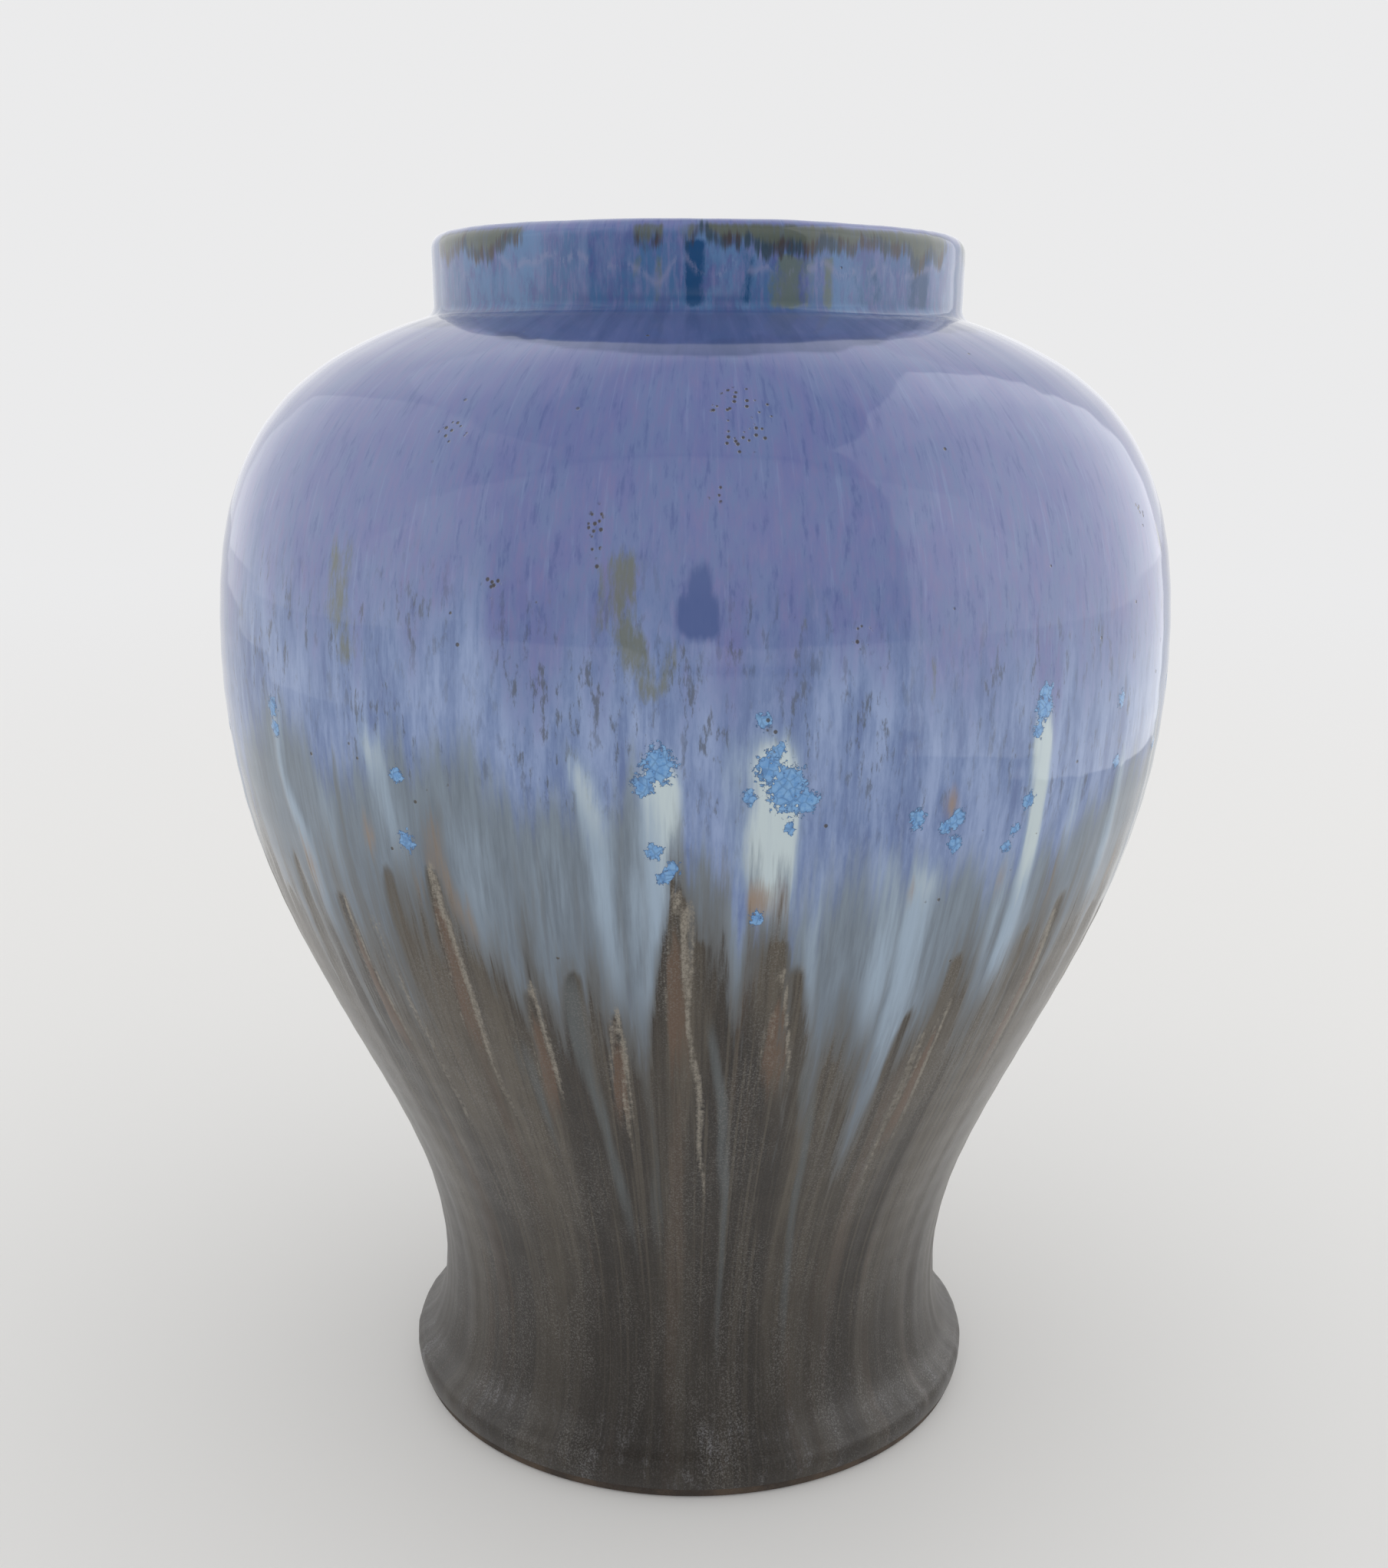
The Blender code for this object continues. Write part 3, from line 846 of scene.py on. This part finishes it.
def run_glaze():
    """The outside glazes: violet blue above, streaked blue and pale runs, matt gunmetal below."""
    material, g, shader = new_material("run_glaze")
    mm = g.millimetres()
    fine = g.noise(g.flow(14), 0.80, 5, 0.62)
    strand = g.noise(g.flow(24), 0.28, 5, 0.60)
    stroke = g.noise(g.flow(4.5), 0.62, 5, 0.62)
    sliver = g.noise(g.flow(4.5), 0.66, 4, 0.68)
    streaky = g.noise(g.flow(5), 0.50, 5, 0.68)
    mottle = g.noise(g.flow(2.2), 0.16, 5, 0.62)
    cloud = g.noise(g.flow(1.6), 0.20, 5, 0.68)
    lines = g.noise(g.flow(60), 0.62, 3, 0.55)
    grain = g.noise(mm, 2.2, 3, 0.65)
    speck = g.noise(mm, 0.75, 5, 0.65)
    feather = g.add(g.times(strand, 0.55), g.times(fine, 0.45))
    plume = g.add(g.times(g.noise(g.flow(6), 0.17, 6, 0.68), 0.6), g.times(feather, 0.4))

    def ragged(name, amount, noise=feather):
        """A field frayed by the noise, only where the field is there at all."""
        value = g.field(name)
        return g.add(value, g.swing(noise, g.step(value, 0, 0.35, amount)))

    # The gloss glaze: violet at the top, feathered blue below it, pale runs through both.
    # Painted dark reflection of the neck, laid over the violet round the neck's foot.
    reflected_colour = g.mix(g.step(mottle, 0.36, 0.64), NECK_REFLECTION_DARK, NECK_REFLECTION)
    violet = g.layers(g.mix(g.step(mottle, 0.36, 0.64), BLUE_VIOLET, VIOLET), [
        (g.step(stroke, 0.46, 0.72, 0.8), LILAC),
        (g.step(stroke, 0.47, 0.30, 0.55), DEEP_VIOLET),
        (g.step(fine, 0.54, 0.72, 0.25), LIGHT_CORNFLOWER),
        (g.times(g.field("neck_shade"), 0.9), DEEP_VIOLET),
        (g.times(g.field("neck_reflection"), 0.92), reflected_colour),
    ])
    blue = g.layers(g.mix(g.step(plume, 0.45, 0.60), CORNFLOWER, LIGHT_CORNFLOWER), [
        (g.step(plume, 0.49, 0.38, 0.65), DARK_CORNFLOWER),
        (g.step(stroke, 0.50, 0.68, 0.35), LIGHT_CORNFLOWER),
    ])
    crowd = g.step(g.noise(g.flow(3), 0.10, 2), 0.42, 0.60, 1, 0.35)
    fleck = g.times(g.times(g.field("feathers"), crowd), g.step(sliver, 0.53, 0.66, 0.66))
    pale = g.step(ragged("pale", 1.5), 0.10, 1.15)
    upper = g.layers(blue, [
        (g.step(ragged("violet", 2.6, plume), 0.15, 0.90), violet),
        (fleck, OLIVE_DARK),
        (pale, g.mix(g.step(pale, 0.30, 0.90), PALE_BLUE, PALE)),
    ])

    # Where the gloss thins out: steel blue, then slate.
    shimmer = g.add(g.times(fine, 0.35), g.times(plume, 0.65))
    steel = g.layers(g.mix(g.step(shimmer, 0.34, 0.66), STEEL, STEEL_LIGHT), [
        (g.step(strand, 0.46, 0.32, 0.45), SLATE_LIGHT),
        (g.times(pale, 0.9), PALE_BLUE),
    ])
    slate = g.mix(g.step(feather, 0.36, 0.68), SLATE, SLATE_LIGHT)
    slate = g.mix(g.times(pale, 0.45), slate, PALE_BLUE)

    # The matt glaze, with its rust, cool streaks and frost.
    dark = g.add(g.field("gloom"), g.swing(feather, 1.6))
    rusty = g.noise(g.flow(14), 0.13, 3)
    frosted = g.step(g.noise(g.flow(2), 0.07, 3, 0.6), 0.40, 0.62, 0.38, 0.10)
    metal = g.layers(g.mix(g.step(dark, 0.15, 0.90), GUNMETAL_LIGHT, GUNMETAL_DARK), [
        (g.step(fine, 0.42, 0.62, 0.55), GUNMETAL),
        (g.step(lines, 0.55, 0.64, 0.60), GUNMETAL_LIGHT),
        (g.step(lines, 0.44, 0.36, 0.45), GUNMETAL_DARK),
        (g.step(rusty, 0.56, 0.70, 0.28), RUST),
        (g.step(ragged("rust", 1.6, fine), 0.30, 1, 0.80), RUST),
        (g.step(ragged("cool", 1.6), 0.25, 1.05, 0.80), COOL_GREY),
        (g.times(g.field("low"), 0.70), GUNMETAL_DARK),
        (g.times(frosted, g.step(grain, 0.46, 0.66)), FROST),
    ])
    sunk = ragged("sunk", 1.9)
    matt = g.step(sunk, 0.62, 0.95)
    dry = g.step(g.add(ragged("dry", 1.3, speck), g.swing(fine, 1.2)), 0.36, 0.90)
    scuff = g.times(g.field("foot_bloom"), g.step(g.noise(g.flow(1.6), 0.16, 6, 0.75), 0.50, 0.70))

    # The neck and lip.
    neck = g.mix(g.step(cloud, 0.34, 0.56), DEEP_VIOLET, NECK_BLUE)
    neck = g.mix(g.step(stroke, 0.48, 0.66, 0.40), neck, LILAC)
    cloud_edge = g.times(g.field("neck_edge"), g.step(cloud, 0.46, 0.54))
    drip = g.mix(g.step(mottle, 0.44, 0.56), LIP_TEAL, BROWN)

    # Crystals with ruffled edges and dark veins, and pinholes.
    crystal = g.add(g.field("crystal"), g.add(g.swing(speck, 1.9), g.swing(grain, 0.4)))
    shown = g.times(g.step(crystal, 0.26, 0.30), g.step(g.field("crystal"), 0.02, 0.10))
    vein = g.step(g.cells(mm, 0.50, "DISTANCE_TO_EDGE"), 0.02, 0.12, 1, 0.62)
    sky = g.mix(g.step(speck, 0.40, 0.62), SKY, SKY_LIGHT)
    sky = g.mix(g.times(g.step(crystal, 0.30, 0.44), vein), SKY_DARK, sky)
    rare = g.step(g.cells(mm, PORE_CELLS, output="Color"), 0.94, 0.96)
    rare = g.times(rare, g.maths("SUBTRACT", 1, matt))
    where = g.maths("MAXIMUM", g.step(g.field("pits"), 0.12, 0.35), rare)
    hole = g.times(g.step(g.cells(mm, PORE_CELLS), 0.34, 0.20), where)

    body = g.layers(upper, [
        (g.step(ragged("steel", 1.6), 0.20, 0.85), steel),
        (g.step(sunk, 0.32, 0.72), slate),
        (g.step(ragged("ochre", 1.8), 0.30, 1.05, 0.85), OCHRE),
        (matt, metal),
        (g.times(dry, g.step(grain, 0.32, 0.58, 0.95, 0.30)), TAN),
        (g.times(scuff, g.step(grain, 0.40, 0.60, 0.55, 0.05)), SCUFF),
        (g.step(ragged("olive", 3.6, streaky), 0.20, 1.35, 0.85), OLIVE),
        (g.step(ragged("cobalt", 2.2, plume), 0.34, 0.80, 0.9), COBALT),
        (g.times(g.field("neck"), g.step(mottle, 0.35, 0.60, 1, 0.45)), neck),
        (g.step(ragged("neck_sky", 2.6, cloud), 0.20, 0.95, 0.85), NECK_LIGHT_BLUE),
        (g.step(ragged("neck_cobalt", 2, cloud), 0.30, 0.90, 0.95), TEAL),
        (g.step(ragged("neck_olive", 1.8, cloud), 0.35, 0.95, 0.85), NECK_OLIVE_TINT),
        (g.times(cloud_edge, 0.45), LILAC_LIGHT),
        (g.step(ragged("lip_break", 1.4, stroke), 0.10, 1.05, 0.92), LIP_OLIVE),
        (g.step(ragged("lip_dark", 2.4, fine), 0.35, 1.05, 0.90), drip),
        (shown, sky),
        (g.times(hole, 0.85), OLIVE_BROWN),
    ])
    rough = g.maths("MAXIMUM", matt, g.times(shown, 0.45))
    rough = g.step(rough, 0, 1, MATT_ROUGHNESS, GLOSSY_ROUGHNESS)
    rough = g.add(rough, g.add(g.times(dry, 0.15), g.times(g.field("low"), 0.15)))
    rough = g.maths("MINIMUM", rough, 0.75)
    shader.inputs["IOR"].default_value = 1.5
    shader.inputs["Sheen Weight"].default_value = 0.10
    shader.inputs["Sheen Roughness"].default_value = 0.40

    satin = g.times(g.add(grain, g.times(fine, 0.8)), matt)
    texture = g.add(g.times(satin, 0.35), g.add(g.times(shown, 0.6), g.times(hole, -1.6)))
    g.dress(shader, body, rough, g.bump(texture, 0.14, 0.8))
    return material


def liner_glaze():
    """Inside: the same blue near the mouth, darkening to a speckled slate below."""
    material, g, shader = new_material("inside_glaze")
    strand = g.noise(g.flow(10), 0.16, 5, 0.6)
    height = g.node("SeparateXYZ", {0: g.millimetres()}).outputs[2]
    upper = g.mix(g.step(strand, 0.38, 0.64), DARK_CORNFLOWER, VIOLET)
    lower = g.mix(g.step(strand, 0.38, 0.66), GUNMETAL_DARK, SLATE)
    specks = g.step(g.noise(g.millimetres(), 0.8, 4, 0.7), 0.66, 0.74, 0.6)
    body = g.layers(lower, [
        (g.step(g.add(height, g.swing(strand, 60)), 190, 300), upper),
        (specks, BROWN),
    ])
    bumps = g.bump(g.noise(g.flow(1), 0.25, 3), 0.20, 0.4)
    g.dress(shader, body, g.step(strand, 0.3, 0.7, 0.30, 0.16), bumps)
    return material


def bare_clay(name, base, dark):
    """Unglazed fired clay: uneven in tone, with iron specks and pale grog."""
    material, g, shader = new_material(name)
    patches = g.noise(g.millimetres(), 0.09, 5, 0.6)
    grog = g.noise(g.millimetres(), 1.4, 4, 0.7)
    body = g.layers(g.mix(g.step(patches, 0.35, 0.65), dark, base), [
        (g.step(grog, 0.62, 0.72, 0.7), BROWN),
        (g.step(grog, 0.34, 0.26, 0.5), TAN),
    ])
    bumps = g.bump(g.add(grog, g.times(patches, 0.6)), 0.25, 0.6)
    g.dress(shader, body, g.step(grog, 0.3, 0.7, 0.92, 0.72), bumps)
    return material


def assign(piece, material):
    piece.data.materials.clear()
    piece.data.materials.append(material)


# -------------------- build the pieces

glaze_material = run_glaze()
inside_material = liner_glaze()
foot_clay = bare_clay("foot_clay", (0.085, 0.060, 0.042), (0.040, 0.030, 0.024))
wall_clay = bare_clay("wall_clay", (0.300, 0.215, 0.150), (0.215, 0.150, 0.105))
slip_clay = bare_clay("slip_clay", (0.360, 0.270, 0.200), (0.270, 0.190, 0.140))

# Bands of glaze: name, lower edge, CAD node, rows inside for each row outside.
BANDS = (
    ("foot_glaze", GLAZE_FOOT_LINE, "gunmetal_glaze_coat", 0.5),
    ("waist_glaze", 48.0, "gunmetal_glaze_coat", 0.15),
    ("drip_glaze", DRIP_LINE, "flambe_glaze_coat", 0.15),
    ("belly_glaze", 190.0, "flambe_glaze_coat", 0.15),
    ("shoulder_glaze", 255.0, "flambe_glaze_coat", 0.15),
    ("neck_glaze", 303.0, "flambe_glaze_coat", 0.5),
)


def finish_piece(piece, material, node):
    assign(piece, material)
    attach(piece, "root")
    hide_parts(node)


def make_glaze_bands():
    starts = [int(np.argmin(np.abs(RUNS - outline.at_height(band[1])))) for band in BANDS]
    ends = starts[1:] + [ROWS - 1]
    for (name, _, node, rows_inside), low, high in zip(BANDS, starts, ends):
        finish_piece(glaze_band(name, low, high, rows_inside), glaze_material, node)


def floor_corner(depth):
    """Points from the inner wall round the floor's corner, a depth below the glazed outside."""
    lift = depth - CLAY_INSIDE
    centre = (WAIST[0] - CLAY_INSIDE - FLOOR_FILLET, FLOOR_TOP + FLOOR_FILLET)
    return list(arc(centre, FLOOR_FILLET - lift, 0.0, -math.pi / 2, 10))


def make_liner():
    waist = outline.at_height(WAIST[1])
    top = outline.neck_top - GAP
    inner_floor = floor_corner(WALL)
    outer_floor = floor_corner(LINER_OUTSIDE)
    section = [(0.0, outer_floor[-1][1])] + outer_floor[::-1]
    section += outline.stretch(waist, top, LINER_OUTSIDE, 3.0) + outline.stretch(top, waist, WALL, 1.5)
    section += inner_floor + [(0.0, inner_floor[-1][1])]
    liner = turned_to_axis("inside_glaze_liner", section, 360)
    finish_piece(liner, inside_material, "interior_glaze_liner")


def make_foot():
    joint = outline.at_height(JOINT_HEIGHTS[0])
    base = float(outline.at(0.0, GAP)[0])
    ring = base - FOOT_RING_WIDTH
    edge = list(arc((base - FOOT_EDGE, FOOT_EDGE), FOOT_EDGE, -math.pi / 2, 0.0, 6))
    recess = list(arc((ring - FOOT_RECESS_DEPTH, 0.0), FOOT_RECESS_DEPTH, math.pi / 2, 0.0, 8))
    section = [(0.0, FOOT_RECESS_DEPTH + 0.6), (20.0, FOOT_RECESS_DEPTH + 0.4)] + recess[:-1]
    section += [(ring + 0.6, 0.0)] + edge
    line = [outline.at_height(GLAZE_FOOT_LINE - below) for below in (GAP, 0.1, 0.0)]
    section += outline.stretch(line[0], line[1], GAP)
    section += outline.stretch(line[2], joint, CLAY_OUTSIDE, 2.0)
    section += outline.stretch(joint, outline.at_height(WAIST[1]), CLAY_INSIDE, 4.0)
    inner_floor = floor_corner(CLAY_INSIDE)
    foot = turned_to_axis("foot_ring_and_floor", section + inner_floor + [(0.0, inner_floor[-1][1])], 360)
    finish_piece(foot, foot_clay, "foot_section")


def make_wall_sections():
    runs = [outline.at_height(height) for height in JOINT_HEIGHTS]
    spans = (
        ("waist_wall", "waist_section", runs[0], runs[1]),
        ("belly_wall", "belly_section", runs[1], runs[2]),
        ("shoulder_wall", "shoulder_section", runs[2], runs[3]),
    )
    for name, node, low, high in spans:
        low, high = low + GAP + SLIP / 2, high - GAP - SLIP / 2
        section = outline.stretch(low, high, CLAY_OUTSIDE) + outline.stretch(high, low, CLAY_INSIDE)
        finish_piece(turned(name, section), wall_clay, node)
    crest = arc((NECK_TOP[0] - LIP_RADIUS, NECK_TOP[1]), LIP_RADIUS - CLAY_OUTSIDE, 0.0, math.pi, 9)[1:-1]
    section = outline.stretch(runs[3] + GAP, outline.neck_top, CLAY_OUTSIDE, 2.0)
    section += list(crest)
    section += outline.stretch(outline.neck_top, runs[3] + GAP, CLAY_INSIDE, 2.0)
    finish_piece(turned("neck_wall", section), wall_clay, "neck_collar")


make_glaze_bands()
make_liner()
make_foot()
make_wall_sections()
for node in ("foot_slip_ring", "waist_slip_ring", "belly_slip_ring", "neck_slip_ring"):
    assign(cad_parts[node], slip_clay)

# -------------------- stage, lights and camera

BACKGROUND = (0.83, 0.83, 0.835)
FLOOR_SIZE = 9.0


def make_floor():
    """A pale floor that fades into the background's colour far away."""
    mesh = bpy.data.meshes.new("floor")
    angles = np.radians(np.arange(96) * 3.75)
    rim = [(FLOOR_SIZE * math.cos(a), FLOOR_SIZE * math.sin(a), 0.0) for a in angles]
    mesh.from_pydata(rim, [], [list(range(len(rim)))])
    floor = linked("floor", mesh)
    floor.location.z = cad_low.z - 0.0002
    material, g, shader = new_material("pale_floor")
    shader.inputs["Base Color"].default_value = (0.80, 0.795, 0.785, 1.0)
    shader.inputs["Roughness"].default_value = 0.6
    glow = g.node("Emission", {"Color": (*BACKGROUND, 1.0)}).outputs[0]
    distance = g.node("VectorMath", {0: g.place()}, operation="LENGTH").outputs["Value"]
    faded = g.step(distance, 0.15, 2.2, 1.0, 0.12)
    blend = g.node("MixShader", {0: faded, 1: shader.outputs[0], 2: glow})
    g.feed(g.tree.nodes["Material Output"].inputs["Surface"], blend.outputs[0])
    assign(floor, material)


SKY_FILL = 0.88
FRONT_SLOPE = 1.68


def make_world():
    """Pale for the camera, even as fill, and for reflections bright behind and dim in front."""
    world = bpy.data.worlds.new("studio")
    bpy.context.scene.world = world
    world.use_nodes = True
    g = Graph(world.node_tree)
    fill = world.node_tree.nodes["Background"]
    fill.inputs["Color"].default_value = (1.0, 0.995, 0.985, 1.0)
    fill.inputs["Strength"].default_value = SKY_FILL
    seen = g.node("Background", {"Color": (*BACKGROUND, 1.0)})
    direction = g.node("SeparateXYZ", {0: g.node("TexCoord").outputs["Generated"]}).outputs
    side = g.times(g.maths("ABSOLUTE", direction["X"]), 1.2)
    rise = g.times(g.times(direction["Z"], direction["Z"]), -0.35)
    behind = g.add(g.add(side, direction["Y"]), rise)
    screens = g.add(g.step(behind, 0.12, 0.35, 0.55, 0.12), g.step(behind, 0.30, 0.85, 0.55))
    front_top = g.add(direction["Z"], g.times(direction["Y"], FRONT_SLOPE))
    front = g.times(g.step(front_top, 0.02, -0.02), g.step(direction["Z"], 0.0, 0.45, 0.36, 0.12))
    strength = g.add(screens, front)
    mirrored = g.node("Background", {"Color": (1.0, 1.0, 1.0, 1.0), "Strength": strength})
    rays = g.node("LightPath").outputs
    shown = fill
    for ray, over in (("Is Glossy Ray", mirrored), ("Is Camera Ray", seen)):
        shown = g.node("MixShader", {0: rays[ray], 1: shown.outputs[0], 2: over.outputs[0]})
    g.feed(world.node_tree.nodes["World Output"].inputs["Surface"], shown.outputs[0])


def soft_light(name, size, location, rotation, radiance, mirrored):
    """A rectangle of light: either only mirrored in the glaze or only filling in."""
    light = bpy.data.lights.new(name, "AREA")
    light.shape = "RECTANGLE"
    light.size, light.size_y = size
    light.energy = radiance * math.pi * size[0] * size[1]
    lamp = linked(name, light)
    lamp.location = location
    lamp.rotation_euler = rotation
    lamp.visible_camera = False
    lamp.visible_glossy = mirrored
    lamp.visible_diffuse = not mirrored


def panel(name, start, end, low, high, radiance, mirrored):
    """An upright soft light between two points of the plan, facing the vase."""
    middle = ((start[0] + end[0]) / 2, (start[1] + end[1]) / 2, (low + high) / 2)
    across = math.atan2(end[1] - start[1], end[0] - start[0])
    turned_away = middle[0] * math.sin(across) - middle[1] * math.cos(across) < 0.0
    rotation = (math.pi / 2, 0.0, across + math.pi if turned_away else across)
    soft_light(name, (math.dist(start, end), high - low), middle, rotation, radiance, mirrored)


# Upright panels: name, two ends in the plan, bottom, top, radiance, whether only mirrored.
PANELS = (
    ("left_fill", (-0.70, -0.66), (-1.92, 2.62), 0.50, 1.48, 0.28, False),
    ("right_fill", (0.60, -0.60), (2.34, 2.69), 0.50, 1.48, 0.44, False),
    ("left_panel", (-0.635, -0.635), (-1.85, 2.64), 0.06, 1.48, 0.31, True),
    ("right_panel", (0.60, -0.60), (0.60, 0.66), 0.02, 1.48, 0.80, True),
    ("far_right_panel", (0.60, 0.66), (2.34, 2.69), 0.02, 1.48, 0.80, True),
)
TOP_PANEL = ("top_panel", (2.4, 2.4), (0.0, 0.25, 1.78), (0.0, 0.0, 0.0), 0.18, True)


def make_lights():
    for place in PANELS:
        panel(*place)
    soft_light(*TOP_PANEL)


CAMERA_DISTANCE = 503.6
CAMERA_HEIGHT = 296.5
CAMERA_PITCH = math.radians(13.26)
CAMERA_ROLL = math.radians(0.5)
CAMERA_LENS = 40.86


def make_camera():
    data = bpy.data.cameras.new("camera")
    data.lens = CAMERA_LENS
    data.sensor_width = 36.0
    camera = linked("camera", data)
    camera.location = (0.0, -CAMERA_DISTANCE * MM, CAMERA_HEIGHT * MM)
    camera.rotation_mode = "ZYX"
    camera.rotation_euler = (math.pi / 2 - CAMERA_PITCH, 0.0, CAMERA_ROLL)
    bpy.context.scene.camera = camera


make_floor()
make_world()
make_lights()
make_camera()
bpy.context.scene.view_settings.view_transform = "Standard"
